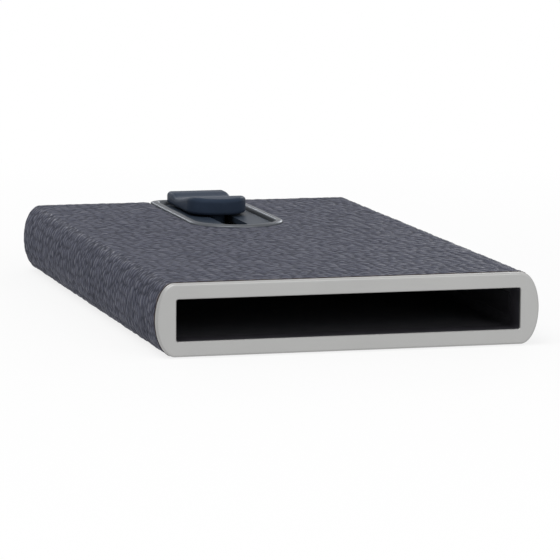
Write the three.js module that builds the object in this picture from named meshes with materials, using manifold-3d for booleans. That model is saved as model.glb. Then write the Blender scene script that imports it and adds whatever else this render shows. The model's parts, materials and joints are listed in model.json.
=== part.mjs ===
// Slim card case with a sliding thumb button.
// A leather-wrapped aluminium tube holds the cards. A button on the top face slides towards
// the open mouth and carries a stepped pusher, which drives the cards out as a staircase.
//
// Millimetres, +Z up. The mouth faces -Y and the button stands on the top face.
// The origin lies on the table, under the middle of the case.
// Inside the case group, y is the depth measured from the front face of the mouth.

import * as THREE from "three";
import { mergeVertices } from "three/addons/utils/BufferGeometryUtils.js";
import Module from "manifold-3d";

const wasm = await Module();
wasm.setup();

// Cards, and the space that holds them
const card_width = 54;
const card_length = 85.6;
const card_side_clearance = 0.5;
const card_recess = 1.2;          // how far the cards' front edges sit behind the mouth
const card_end_clearance = 0.2;
const slot_height = 6.5;
const slot_corner_radius = 0.7;

// Walls, from the outside in
const leather_thickness = 0.8;
const glue_line = 0.1;
const tube_wall = 1.0;
const liner_fit = 0.1;
const liner_wall = 0.5;
const liner_side_wall = 1.2;
const liner_side_bulge = 1.05;    // the liner's sides are half ellipses of this half width
const seat_gap = 0.05;            // between two faces that are screwed or glued together
const leather_edge_gap = 0.15;    // round every cut edge of the leather

// Mouth
const frame_thickness = 1.2;
const frame_edge_radius = 0.3;
const frame_lip = 0.5;            // depth of bright metal inside the aperture
const collar_rim_wall = 0.5;
const collar_depth = 4.8;

// Thumb button
const button_width = 10.5;
const button_length = 19.85;
const button_height = 2.95;
const button_float = 0.35;        // air between the button and the track plate
const button_edge_radius = 0.75;
const button_foot_radius = 0.65;
const button_corner_radius = 0.6;
const button_corner_least = 0.12; // left of the corners on the button's top
const button_rear_gap = 0.4;
const button_side_gap = 1.45;
const button_nose_gap = 0.95;     // left in front of the button at the end of its travel
const travel = 14;

// Height of the button's top along its length, as shares of the button's height: a raised lip at the
// nose, a long thumb dish, and a low ridge before the rear edge
const dish_places_share = [0, 0.15, 0.7, 0.86, 1];
const dish_heights_share = [0.965, 1, 0.6, 0.75, 0.75];

// Stem under the button, and the slot that guides it
const stem_width = 3.4;
const stem_setback = 3.6;         // from the button's nose
const stem_tail = 3.4;            // from the button's rear edge
const stem_side_clearance = 0.3;
const stop_gap = 0.3;

// Window in the top face
const window_offset = 0.2;        // the window lies this far to the right of the centre line
const bezel_width = 1.45;
const bezel_rise = 0.35;
const bezel_crown_radius = 0.5;
const bezel_corner_radius = 2;
const bezel_rear_margin = 0.1;
const recess_depth = 0.45;        // of the track plate below the leather
const track_flange = 1.1;
const track_fit = 0.15;
const ledge_thickness = 0.5;
const pocket_fit = 0.1;

// Carriage under the track plate
const ledge_overlap = 0.2;        // of the tube's ledge inside the bezel's inner edge
const carriage_thickness = 0.55;
const carriage_nose = 2.7;        // in front of the stem
const carriage_corner_radius = 1.5;
const carriage_window_clearance = 0.5;
const pad_stem_gap = 0.6;
const pad_side_margin = 0.2;
const pad_front_margin = 1;
const pad_screw_margin = 0.5;
const pad_corner_radius = 0.8;
const pad_clearance = 0.1;

// Card pusher
const step_count = 5;
const step_run = 1.3;
const pusher_side_gap = 0.7;      // to the liner's screw bosses
const pusher_clearance = 0.15;
const beam_thickness = 3.5;
const finger_count = 7;
const finger_width = 2.6;
const home_gap = 0.3;

// Rear end
const plug_length = 2.4;
const cap_flange = 0.6;
const rear_leather_recess = 0.15;
const wrap_end_radius = 0.35;
const boss_width = 5.4;
const boss_length = 7.6;

// Felt strips that brake the cards, glued into the side walls
const strip_length = 26;
const strip_height = 3.4;
const strip_thickness = 0.5;
const strip_proud = 0.15;
const strip_fit = 0.1;
const strip_start_gap = 0.3;      // behind the collar

// Seams
const parting_gap = 0.1;          // between the two halves of the liner
const wrap_seam = 0.3;            // butt seam of the leather, along the underside
const wrap_seam_share = -0.62;    // its place, as a share of the half width of the flat underside

// Screws
const shank_radius = 0.4;
const hole_clearance = 0.1;
const pilot_clearance = 0.05;
const head_radius = 0.8;
const head_height = 0.3;
const drive_width = 0.25;
const drive_depth = 0.12;
const flat_head_radius = 0.95;
const flat_head_clearance = 0.06;
const stem_screw_cover = 0.63;    // left above a stem screw, under the thumb dish
const stem_screw_margin = 2.6;    // from either end of the stem
const pusher_screw_reach = 4;
const pusher_screw_margin = 1.8;  // from the carriage's sides
const window_screw_reach = 0.45;  // into the bezel
const window_screw_margin = 7;    // from the straight sides' front and rear ends
const cap_screw_radius = 0.7;
const cap_head_radius = 1.3;
const cap_head_height = 0.6;
const cap_screw_reach = 5;
const blind_gap = 0.15;           // past the end of a screw

// Facets
const curve_steps = 14;
const round_steps = 4;
const arc_steps = 10;
const side_steps = 9;
const corner_steps = 4;
const screw_sides = 14;
const overrun = 1;                // how far a cutter runs past what it cuts

// Cross-section, worked out from the inside out
const slot_width = card_width + 2 * card_side_clearance;
const tube_inset = leather_thickness + glue_line;
const bore_inset = tube_inset + tube_wall;
const liner_inset = bore_inset + liner_fit;
const case_height = slot_height + 2 * (liner_inset + liner_wall);
const case_width = slot_width + 2 * (liner_inset + liner_side_wall);
const side_bulge = liner_inset + liner_side_bulge;
const flat_half_width = case_width / 2 - side_bulge;
const mid_height = case_height / 2;
const slot_floor = mid_height - slot_height / 2;
const slot_ceiling = mid_height + slot_height / 2;
const tube_top = case_height - tube_inset;
const tube_ceiling = case_height - bore_inset;

// Depths from the front face, from the mouth to the rear
const tube_front = frame_thickness + seat_gap;
const leather_front = frame_thickness + leather_edge_gap;
const collar_rear = collar_depth;
const liner_front = collar_rear + seat_gap;
const pusher_front = card_recess + card_length + card_end_clearance;
const beam_front = pusher_front + (step_count - 1) * step_run;
const pusher_rear = beam_front + beam_thickness;
const plug_front = pusher_rear + home_gap;
const liner_rear = plug_front - seat_gap;
const cap_flange_front = plug_front + plug_length;
const tube_rear = cap_flange_front - seat_gap;
const cap_rear = cap_flange_front + cap_flange;
const rear_leather_front = cap_rear + seat_gap;
const rear_leather_rear = rear_leather_front + leather_thickness;
const case_length = rear_leather_rear + rear_leather_recess;

// Window, button and stem. The stem starts stem_setback behind the button's nose and ends stem_tail
// before the button's rear edge.
const bezel_rear = case_length - bezel_rear_margin;
const bezel_inner_rear = bezel_rear - bezel_width;
const button_rear = bezel_inner_rear - button_rear_gap;
const button_front = button_rear - button_length;
const bezel_inner_half_width = button_width / 2 + button_side_gap;
const bezel_inner_front = button_front - travel - button_nose_gap;
const bezel_half_width = bezel_inner_half_width + bezel_width;
const bezel_front = bezel_inner_front - bezel_width;
const window_arc_centre = bezel_inner_front + bezel_inner_half_width;
const carriage_window_half_width = bezel_inner_half_width - ledge_overlap;
const carriage_width = 2 * (carriage_window_half_width - carriage_window_clearance);
const pad_width = carriage_width / 2 - pad_side_margin - pad_stem_gap - stem_width / 2;
const pusher_width = slot_width - 2 * (boss_width + pusher_side_gap + window_offset);
const stem_front = button_front + stem_setback;
const stem_rear = button_rear - stem_tail;
const guide_front = stem_front - travel - stop_gap;
const guide_rear = stem_rear + stop_gap;
const guide_width = stem_width + 2 * stem_side_clearance;
const track_rear = tube_rear - pocket_fit;
const floor_rear = Math.min(bezel_inner_rear - track_fit, track_rear);

// Heights in the window
const ledge_top = tube_ceiling + ledge_thickness;
const track_bottom = ledge_top + seat_gap;
const track_top = case_height - recess_depth;
const bezel_bottom = tube_top + seat_gap;
const bezel_top = case_height + bezel_rise;
const button_bottom = track_top + button_float;
const carriage_bottom = slot_ceiling + seat_gap;
const carriage_top = carriage_bottom + carriage_thickness;
const carriage_front = stem_front - carriage_nose;
const carriage_rear = pusher_rear;
const stem_bottom = carriage_top + seat_gap;
const stem_screw_top = button_bottom + button_height * Math.min(...dish_heights_share) - stem_screw_cover;

// Finishes, with colours as the eye sees them
const silver = new THREE.MeshStandardMaterial({ color: 0xb0b0b0, roughness: 0.45, metalness: 0.9 });
const satin = new THREE.MeshStandardMaterial({ color: 0x9aa0a4, roughness: 0.3, metalness: 1 });
const extrusion = new THREE.MeshStandardMaterial({ color: 0x8e9194, roughness: 0.5, metalness: 0.9 });
const leather = new THREE.MeshStandardMaterial({ color: 0x575965, roughness: 0.7, metalness: 0 });
const black = new THREE.MeshStandardMaterial({ color: 0x101012, roughness: 0.6, metalness: 0 });
const slate = new THREE.MeshStandardMaterial({ color: 0x56606a, roughness: 0.4, metalness: 0.6 });
const navy = new THREE.MeshStandardMaterial({ color: 0x2c333f, roughness: 0.5, metalness: 0 });
const felt = new THREE.MeshStandardMaterial({ color: 0x1c1c20, roughness: 1, metalness: 0 });
const steel = new THREE.MeshStandardMaterial({ color: 0x9c9c98, roughness: 0.35, metalness: 1 });

// A closed mesh as a bare indexed geometry: shared vertices merged, triangles with no area dropped
function welded(geometry) {
  const bare = geometry.clone();
  bare.deleteAttribute("normal");
  bare.deleteAttribute("uv");
  const merged = mergeVertices(bare);
  const index = Array.from(merged.index.array);
  const kept = [];
  for (let i = 0; i < index.length; i += 3) {
    const [a, b, c] = index.slice(i, i + 3);
    if (a !== b && b !== c && c !== a) kept.push(a, b, c);
  }
  merged.setIndex(kept);
  return merged;
}

function solid(geometry) {
  const mesh = welded(geometry);
  const vertProperties = new Float32Array(mesh.attributes.position.array);
  const triVerts = new Uint32Array(mesh.index.array);
  return new wasm.Manifold(new wasm.Mesh({ numProp: 3, vertProperties, triVerts }));
}

function surface(body) {
  const mesh = body.getMesh();
  const geometry = new THREE.BufferGeometry();
  geometry.setAttribute("position", new THREE.BufferAttribute(new Float32Array(mesh.vertProperties), 3));
  geometry.setIndex(Array.from(mesh.triVerts));
  geometry.computeVertexNormals();
  return geometry;
}

function join(...geometries) {
  return surface(geometries.map(solid).reduce((whole, next) => whole.add(next)));
}

function cut(geometry, ...cutters) {
  return surface(cutters.map(solid).reduce((whole, next) => whole.subtract(next), solid(geometry)));
}

function common(geometry, other) {
  return surface(solid(geometry).intersect(solid(other)));
}

// A section in x and z, run along the depth
function lengthwise(shape, from, to) {
  const geometry = new THREE.ExtrudeGeometry(shape, {
    depth: to - from, bevelEnabled: false, curveSegments: curve_steps,
  });
  geometry.rotateX(Math.PI / 2);
  geometry.translate(0, to, 0);
  return geometry;
}

// A plan in x and y, run upwards
function upright(shape, bottom, top) {
  const geometry = new THREE.ExtrudeGeometry(shape, {
    depth: top - bottom, bevelEnabled: false, curveSegments: curve_steps,
  });
  geometry.translate(0, 0, bottom);
  return geometry;
}

// A side profile in depth and height, run across the width
function crosswise(shape, left, right) {
  const geometry = new THREE.ExtrudeGeometry(shape, {
    depth: right - left, bevelEnabled: false, curveSegments: curve_steps,
  });
  geometry.rotateX(Math.PI / 2);
  geometry.rotateZ(Math.PI / 2);
  geometry.translate(left, 0, 0);
  return geometry;
}

function block(x0, x1, y0, y1, z0, z1) {
  const geometry = new THREE.BoxGeometry(x1 - x0, y1 - y0, z1 - z0);
  geometry.translate((x0 + x1) / 2, (y0 + y1) / 2, (z0 + z1) / 2);
  return geometry;
}

// A turned solid on a vertical axis, from a profile of [radius, height] that starts and ends on it
function turned(profile) {
  const points = profile.map(([r, z]) => new THREE.Vector2(r, z));
  const geometry = new THREE.LatheGeometry(points, screw_sides);
  geometry.rotateX(Math.PI / 2);
  return geometry;
}

function pin(x, y, radius, bottom, top) {
  const geometry = new THREE.CylinderGeometry(radius, radius, top - bottom, screw_sides);
  geometry.rotateX(Math.PI / 2);
  geometry.translate(x, y, (bottom + top) / 2);
  return geometry;
}

// Rings of equal point count, counter-clockwise seen from the last one, skinned into one closed solid
function skinned(rings, lastCap) {
  const count = rings[0].length;
  const vertices = rings.flat(2);
  const faces = [];
  for (let i = 0; i + 1 < rings.length; i += 1) {
    for (let j = 0; j < count; j += 1) {
      const a = i * count + j;
      const b = i * count + (j + 1) % count;
      faces.push(a, b, b + count, a, b + count, a + count);
    }
  }
  const flat = rings[0].map(([x, y]) => new THREE.Vector2(x, y));
  const caps = THREE.ShapeUtils.triangulateShape(flat, []);
  for (const [a, b, c] of caps) faces.push(c, b, a);
  const base = (rings.length - 1) * count;
  for (const [a, b, c] of lastCap ?? caps) faces.push(base + a, base + b, base + c);
  const geometry = new THREE.BufferGeometry();
  geometry.setAttribute("position", new THREE.BufferAttribute(new Float32Array(vertices), 3));
  geometry.setIndex(faces);
  return geometry;
}

// Insets and rises of a quarter round, from its foot at the full outline to its crown
function quarterRound(radius) {
  const steps = [];
  for (let i = 0; i <= round_steps; i += 1) {
    const angle = (i / round_steps) * Math.PI / 2;
    steps.push({ inset: radius * (1 - Math.cos(angle)), rise: radius * Math.sin(angle) });
  }
  return steps;
}

// Outline of the case at a given inset: flat above and below, with half ellipses at the sides
function caseSection(inset) {
  const shape = new THREE.Shape();
  const rx = side_bulge - inset;
  const rz = mid_height - inset;
  shape.absellipse(flat_half_width, mid_height, rx, rz, -Math.PI / 2, Math.PI / 2);
  shape.absellipse(-flat_half_width, mid_height, rx, rz, Math.PI / 2, 3 * Math.PI / 2);
  shape.closePath();
  return shape;
}

// Prism of the case outline whose edge is rounded at one end
function roundedPrism(inset, sharpEnd, roundEnd, radius) {
  const way = Math.sign(roundEnd - sharpEnd);
  const stations = [{ y: sharpEnd, extra: 0 }];
  for (const { inset: extra, rise } of quarterRound(radius)) {
    stations.push({ y: roundEnd - way * (radius - rise), extra });
  }
  const rings = stations.map(({ y, extra }) => caseSection(inset + extra)
    .getPoints(curve_steps)
    .slice(0, -1)
    .map((p) => [p.x, p.y, y]));
  const ordered = way > 0 ? rings : rings.reverse();
  const geometry = skinned(ordered);
  // The rings are built along z and then laid down, so that z becomes the depth
  const place = geometry.attributes.position;
  for (let i = 0; i < place.count; i += 1) {
    place.setXYZ(i, place.getX(i), place.getZ(i), place.getY(i));
  }
  const index = Array.from(geometry.index.array).reverse();
  geometry.setIndex(index);
  return geometry;
}

function planShape(points) {
  return new THREE.Shape(points.map(([x, y]) => new THREE.Vector2(x, y)));
}

function roundedRectangle(x0, x1, y0, y1, radius, steps = corner_steps) {
  const points = [];
  const centres = [[x1 - radius, y0 + radius], [x1 - radius, y1 - radius],
    [x0 + radius, y1 - radius], [x0 + radius, y0 + radius]];
  centres.forEach(([x, y], quarter) => {
    for (let i = 0; i <= steps; i += 1) {
      const angle = (quarter - 1 + i / steps) * Math.PI / 2;
      points.push([x + radius * Math.cos(angle), y + radius * Math.sin(angle)]);
    }
  });
  return planShape(points);
}

// The card aperture, grown on all sides by a margin
function slotSection(margin) {
  const half = slot_width / 2 + margin;
  const radius = slot_corner_radius + margin;
  return roundedRectangle(-half, half, slot_floor - margin, slot_ceiling + margin, radius);
}

// A plan with a half round nose towards the mouth, straight sides and a rear edge with small corners.
// Points run from the nose up the right side, along the rear and down the left side.
function nosePlan(halfWidth, noseFront, rear, corner, sides = 1) {
  const centre = noseFront + halfWidth;
  const right = [];
  for (let i = 0; i < arc_steps; i += 1) {
    const angle = (i / arc_steps) * Math.PI / 2;
    right.push([halfWidth * Math.sin(angle), centre - halfWidth * Math.cos(angle)]);
  }
  const sideEnd = rear - corner;
  for (let i = 0; i < sides; i += 1) {
    right.push([halfWidth, centre + (sideEnd - centre) * i / sides]);
  }
  for (let i = 0; i <= corner_steps; i += 1) {
    const angle = (i / corner_steps) * Math.PI / 2;
    right.push([halfWidth - corner + corner * Math.cos(angle), sideEnd + corner * Math.sin(angle)]);
  }
  const left = right.slice(1).reverse().map(([x, y]) => [-x, y]);
  return [...right, ...left];
}

function nosePrism(halfWidth, noseFront, rear, corner, bottom, top) {
  return upright(planShape(nosePlan(halfWidth, noseFront, rear, corner)), bottom, top);
}

// A slot with two half round ends, along the depth
function longSlot(width, front, rear, bottom, top) {
  const shape = roundedRectangle(-width / 2, width / 2, front, rear, width / 2, arc_steps);
  return upright(shape, bottom, top);
}

// Screw with a low cylindrical head, head down, its seat at height zero
function headedScrew(length, shank, headR, headH) {
  const body = turned([
    [0, -headH], [headR, -headH], [headR, 0], [shank, 0], [shank, length], [0, length],
  ]);
  const drive = block(-headR - overrun, headR + overrun, -drive_width / 2, drive_width / 2,
    -headH - overrun, -headH + drive_depth);
  return cut(body, drive);
}

// Screw with a countersunk head, head down, its flat at height zero
function flatScrew(length, shank, headR) {
  const cone = headR - shank;
  const body = turned([[0, 0], [headR, 0], [shank, cone], [shank, length], [0, length]]);
  const drive = block(-headR - overrun, headR + overrun, -drive_width / 2, drive_width / 2,
    -overrun, drive_depth);
  return cut(body, drive);
}

// Holes and places of the screws
const hole_radius = shank_radius + hole_clearance;
const pilot_radius = shank_radius + pilot_clearance;
const window_screw_x = (bezel_inner_half_width + bezel_half_width) / 2;
const window_screw_depths = [window_arc_centre + window_screw_margin, bezel_rear - window_screw_margin];
const window_screw_places = window_screw_depths.flatMap((y) => [[-window_screw_x, y], [window_screw_x, y]]);
const stem_screw_depths = [stem_front + stem_screw_margin, stem_rear - stem_screw_margin];
const pusher_screw_y = (beam_front + pusher_rear) / 2;
const pusher_screw_x = carriage_width / 2 - pusher_screw_margin;
const pusher_screw_places = [-pusher_screw_x, pusher_screw_x];
const boss_x = slot_width / 2 - boss_width / 2;

// Mouth

function mouthFrame() {
  const plate = roundedPrism(0, frame_thickness, 0, frame_edge_radius);
  const aperture = lengthwise(slotSection(0), -overrun, frame_thickness + overrun);
  const rebate = lengthwise(slotSection(collar_rim_wall + seat_gap), frame_lip, frame_thickness + overrun);
  return cut(plate, aperture, rebate);
}

function mouthCollar() {
  const rim = lengthwise(slotSection(collar_rim_wall), frame_lip + seat_gap, tube_front + seat_gap);
  const sleeve = lengthwise(caseSection(liner_inset), tube_front, collar_rear);
  const aperture = lengthwise(slotSection(0), -overrun, collar_rear + overrun);
  return cut(join(rim, sleeve), aperture);
}

// Tube, leather and rear end. The window is cut in the window group's place.

function inWindow(geometry) {
  geometry.translate(window_offset, 0, 0);
  return geometry;
}

function caseTube() {
  const outside = lengthwise(caseSection(tube_inset), tube_front, tube_rear);
  const bore = lengthwise(caseSection(bore_inset), tube_front - overrun, tube_rear + overrun);
  const pocket = inWindow(nosePrism(
    bezel_half_width + track_flange + pocket_fit, bezel_front - track_flange - pocket_fit,
    tube_rear + 2 * overrun, overrun, ledge_top, case_height));
  const opening = inWindow(upright(roundedRectangle(
    -carriage_window_half_width, carriage_window_half_width,
    carriage_front - travel - carriage_window_clearance, carriage_rear + carriage_window_clearance,
    carriage_corner_radius), mid_height, case_height));
  const holes = window_screw_places.map(([x, y]) =>
    inWindow(pin(x, y, hole_radius, mid_height, case_height)));
  return cut(outside, bore, pocket, opening, ...holes);
}

function leatherWrap() {
  const outside = roundedPrism(0, leather_front, case_length, wrap_end_radius);
  const inside = lengthwise(caseSection(leather_thickness), leather_front - overrun, case_length + overrun);
  const opening = inWindow(nosePrism(
    bezel_half_width + leather_edge_gap, bezel_front - leather_edge_gap,
    case_length + 2 * overrun, overrun, mid_height, case_height + overrun));
  const seam_x = flat_half_width * wrap_seam_share;
  const seam = block(seam_x - wrap_seam / 2, seam_x + wrap_seam / 2,
    leather_front - overrun, case_length + overrun, -overrun, mid_height);
  return cut(outside, inside, opening, seam);
}

function rearCap() {
  const flange = lengthwise(caseSection(tube_inset), cap_flange_front, cap_rear);
  const plug = lengthwise(caseSection(liner_inset), plug_front, cap_flange_front + seat_gap);
  const bores = [-boss_x, boss_x].flatMap((x) => {
    const hole = pin(x, -mid_height, cap_screw_radius + seat_gap, plug_front - overrun, cap_rear + overrun);
    const seat = pin(x, -mid_height, cap_head_radius + seat_gap,
      cap_rear - cap_head_height - seat_gap, cap_rear + overrun);
    return [laidDown(hole), laidDown(seat)];
  });
  return cut(join(flange, plug), ...bores);
}

// Turns an upright solid so that its height becomes the depth, and its -y becomes the height
function laidDown(geometry) {
  geometry.rotateX(-Math.PI / 2);
  return geometry;
}

function rearLeather() {
  return lengthwise(caseSection(tube_inset + seat_gap), rear_leather_front, rear_leather_rear);
}

function capScrew() {
  const screw = headedScrew(cap_screw_reach + plug_length + cap_flange - cap_head_height,
    cap_screw_radius, cap_head_radius, cap_head_height);
  screw.rotateX(Math.PI / 2);
  return screw;
}

// Liner: two thin half shells that meet at mid height

function stripPocket(side) {
  const face = slot_width / 2;
  const deep = face - strip_proud + strip_thickness + strip_fit;
  const half = strip_height / 2 + strip_fit;
  const start = liner_front + strip_start_gap - strip_fit;
  const ends = [side * (face - overrun), side * deep].sort((a, b) => a - b);
  return block(...ends, start, start + strip_length + 2 * strip_fit, mid_height - half, mid_height + half);
}

function linerHalf(bottom, top) {
  const shell = lengthwise(caseSection(liner_inset), liner_front, liner_rear);
  const slot = lengthwise(slotSection(0), liner_front - overrun, liner_rear + overrun);
  const half = block(-case_width, case_width, -overrun, case_length + overrun, bottom, top);
  return common(cut(shell, slot, stripPocket(-1), stripPocket(1)), half);
}

function linerFloor() {
  const shell = linerHalf(-overrun, mid_height - parting_gap / 2);
  const bosses = [-1, 1].map((side) => {
    const ends = [side * (slot_width / 2 - boss_width), side * (slot_width / 2 + liner_side_wall / 2)];
    ends.sort((a, b) => a - b);
    return block(...ends, liner_rear - boss_length, liner_rear, slot_floor - liner_wall / 2,
      mid_height - parting_gap / 2);
  });
  const towers = [-1, 1].map((side) => {
    const ends = [side * (slot_width / 2 - boss_width), side * (slot_width / 2 - seat_gap)];
    ends.sort((a, b) => a - b);
    return block(...ends, liner_rear - boss_length, liner_rear, mid_height - parting_gap,
      slot_ceiling - slot_corner_radius);
  });
  const bores = [-boss_x, boss_x].map((x) => laidDown(pin(x, -mid_height, cap_screw_radius + seat_gap,
    liner_rear - cap_screw_reach - blind_gap, liner_rear + overrun)));
  const outline = lengthwise(caseSection(liner_inset), liner_front, liner_rear);
  return cut(common(join(shell, ...bosses, ...towers), outline), ...bores);
}

function linerCeiling() {
  const shell = linerHalf(mid_height + parting_gap / 2, case_height);
  const half = bezel_half_width + track_flange + pocket_fit;
  const front = bezel_front - track_flange - pocket_fit;
  const notch = inWindow(nosePrism(half, front, liner_rear + 2 * overrun, overrun, mid_height, case_height));
  return cut(shell, notch);
}

function brakeStrip() {
  return block(0, strip_thickness, 0, strip_length, -strip_height / 2, strip_height / 2);
}

// Window: the track plate lies on the ledge of the tube, and the bezel on the plate's flange

function trackPlate() {
  const flange = nosePrism(bezel_half_width + track_flange, bezel_front - track_flange,
    track_rear, bezel_corner_radius, track_bottom, tube_top);
  const floor = nosePrism(bezel_inner_half_width - track_fit, bezel_inner_front + track_fit,
    floor_rear, bezel_corner_radius, track_bottom, track_top);
  const guide = longSlot(guide_width, guide_front, guide_rear, track_bottom - overrun, track_top + overrun);
  const holes = window_screw_places.map(([x, y]) => pin(x, y, hole_radius,
    track_bottom - overrun, tube_top + overrun));
  return cut(join(flange, floor), guide, ...holes);
}

function windowBezel() {
  const crown = quarterRound(bezel_crown_radius);
  const ring = (inset, z) => nosePlan(bezel_half_width - inset, bezel_front + inset, bezel_rear - inset,
    bezel_corner_radius).map(([x, y]) => [x, y, z]);
  const outside = skinned([ring(0, bezel_bottom),
    ...crown.map(({ inset, rise }) => ring(inset, bezel_top - bezel_crown_radius + rise))]);
  const hole = (outset, z) => nosePlan(bezel_inner_half_width + outset, bezel_inner_front - outset,
    bezel_inner_rear + outset, bezel_corner_radius).map(([x, y]) => [x, y, z]);
  const inside = skinned([hole(0, bezel_bottom - overrun),
    ...crown.map(({ inset, rise }) => hole(inset, bezel_top - bezel_crown_radius + rise)),
    hole(bezel_crown_radius, bezel_top + overrun)]);
  const pilots = window_screw_places.map(([x, y]) => pin(x, y, pilot_radius,
    bezel_bottom - overrun, bezel_bottom + window_screw_reach + blind_gap));
  return cut(outside, inside, ...pilots);
}

function windowScrew() {
  const grip = bezel_bottom + window_screw_reach - tube_ceiling + seat_gap;
  return headedScrew(grip, shank_radius, head_radius, head_height);
}

// Slider

function dishHeight(y) {
  const place = Math.min(Math.max((y - button_front) / button_length, 0), 1);
  const last = dish_places_share.length - 2;
  let i = 0;
  while (i < last && place > dish_places_share[i + 1]) i += 1;
  const t = (place - dish_places_share[i]) / (dish_places_share[i + 1] - dish_places_share[i]);
  const ease = t * t * (3 - 2 * t);
  const share = dish_heights_share[i] + (dish_heights_share[i + 1] - dish_heights_share[i]) * ease;
  return button_bottom + button_height * share;
}

function buttonRing(inset, height) {
  const corner = Math.max(button_corner_radius - inset, button_corner_least);
  const plan = nosePlan(button_width / 2 - inset, button_front + inset, button_rear - inset,
    corner, side_steps);
  return plan.map(([x, y]) => [x, y, height(y)]);
}

function thumbButton() {
  const foot = quarterRound(button_foot_radius).reverse();
  const edge = quarterRound(button_edge_radius);
  const rings = [
    ...foot.map(({ inset, rise }) => buttonRing(inset, () => button_bottom + button_foot_radius - rise)),
    ...edge.map(({ inset, rise }) => buttonRing(inset, (y) => dishHeight(y) - button_edge_radius + rise)),
  ];
  // Straight rungs from side to side close the dished top
  const count = rings[0].length;
  const rungs = [[0, 1, count - 1]];
  for (let i = 1; i < (count - 1) / 2; i += 1) {
    rungs.push([i, i + 1, count - i - 1], [i, count - i - 1, count - i]);
  }
  const cap = skinned(rings, rungs);
  const stem = longSlot(stem_width, stem_front, stem_rear,
    stem_bottom, button_bottom + button_foot_radius * 2);
  const pilots = stem_screw_depths.map((y) => pin(0, y, pilot_radius, stem_bottom - overrun,
    stem_screw_top + blind_gap));
  return cut(join(cap, stem), ...pilots);
}

function sliderCarriage() {
  const plate = upright(roundedRectangle(-carriage_width / 2, carriage_width / 2,
    carriage_front, carriage_rear, carriage_corner_radius), carriage_bottom, carriage_top);
  const sinks = stem_screw_depths.map((y) => {
    const wide = flat_head_radius + flat_head_clearance;
    const deep = wide - shank_radius - flat_head_clearance;
    const cone = turned([
      [0, -overrun], [wide, -overrun], [wide, 0],
      [shank_radius + flat_head_clearance, deep], [shank_radius + flat_head_clearance, overrun],
      [0, overrun],
    ]);
    cone.translate(0, y, carriage_bottom);
    return cone;
  });
  const holes = pusher_screw_places.map((x) => pin(x, pusher_screw_y, hole_radius,
    carriage_bottom - overrun, carriage_top + overrun));
  return cut(plate, ...sinks, ...holes);
}

function carriagePad() {
  const front = carriage_front + pad_front_margin;
  const rear = pusher_screw_y - head_radius - pad_screw_margin;
  return upright(roundedRectangle(0, pad_width, front, rear, pad_corner_radius),
    carriage_top + seat_gap, track_bottom - pad_clearance);
}

function stemScrew() {
  return flatScrew(stem_screw_top - carriage_bottom, shank_radius, flat_head_radius);
}

function stairProfile(bottom, top) {
  const rise = (top - bottom) / step_count;
  const shape = new THREE.Shape();
  shape.moveTo(beam_front + beam_thickness / 2, bottom);
  shape.lineTo(beam_front + beam_thickness / 2, top - rise);
  for (let i = step_count - 1; i > 0; i -= 1) {
    const face = pusher_front + (i - 1) * step_run;
    shape.lineTo(face, bottom + i * rise);
    shape.lineTo(face, bottom + (i - 1) * rise);
  }
  shape.closePath();
  return shape;
}

function cardPusher() {
  const bottom = slot_floor + pusher_clearance;
  const top = slot_ceiling - pusher_clearance;
  const half = pusher_width / 2;
  const beam = block(-half, half, beam_front, pusher_rear, bottom, top);
  const seat = block(-carriage_width / 2, carriage_width / 2, beam_front, pusher_rear,
    top - pusher_clearance, carriage_bottom - seat_gap);
  const pitch = (pusher_width - finger_width) / (finger_count - 1);
  const fingers = [];
  for (let i = 0; i < finger_count; i += 1) {
    const left = -half + i * pitch;
    fingers.push(crosswise(stairProfile(bottom, top), left, left + finger_width));
  }
  const pilots = pusher_screw_places.map((x) => pin(x, pusher_screw_y, pilot_radius,
    carriage_bottom - pusher_screw_reach - blind_gap, carriage_bottom + overrun));
  return cut(join(beam, seat, ...fingers), ...pilots);
}

function pusherScrew() {
  const screw = headedScrew(carriage_thickness + seat_gap + pusher_screw_reach,
    shank_radius, head_radius, head_height);
  screw.rotateX(Math.PI);
  return screw;
}

// Assembly

function piece(parent, name, geometry, material, x = 0, y = 0, z = 0) {
  const mesh = new THREE.Mesh(geometry, material);
  mesh.name = name;
  mesh.position.set(x, y, z);
  parent.add(mesh);
  return mesh;
}

const cardCase = new THREE.Group();
cardCase.name = "card_case";
const body = new THREE.Group();
body.position.set(0, -case_length / 2, 0);
cardCase.add(body);

piece(body, "mouth_frame", mouthFrame(), silver);
piece(body, "mouth_collar", mouthCollar(), black);
piece(body, "case_tube", caseTube(), extrusion);
piece(body, "leather_wrap", leatherWrap(), leather);
piece(body, "rear_cap", rearCap(), black);
piece(body, "rear_leather", rearLeather(), leather);
piece(body, "liner_floor", linerFloor(), black);
piece(body, "liner_ceiling", linerCeiling(), black);

const strip_x = slot_width / 2 - strip_proud;
const strip_y = liner_front + strip_start_gap;
piece(body, "brake_strip_left", brakeStrip(), felt, -strip_x - strip_thickness, strip_y, mid_height);
piece(body, "brake_strip_right", brakeStrip(), felt, strip_x, strip_y, mid_height);
for (const [side, name] of [[-1, "left"], [1, "right"]]) {
  piece(body, `cap_screw_${name}`, capScrew(), steel, side * boss_x, cap_rear - cap_head_height, mid_height);
}

const windowGroup = new THREE.Group();
windowGroup.position.set(window_offset, 0, 0);
body.add(windowGroup);
piece(windowGroup, "track_plate", trackPlate(), slate);
piece(windowGroup, "window_bezel", windowBezel(), satin);
window_screw_places.forEach(([x, y], i) => {
  piece(windowGroup, `window_screw_${i + 1}`, windowScrew(), steel, x, y, tube_ceiling - seat_gap);
});

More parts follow.
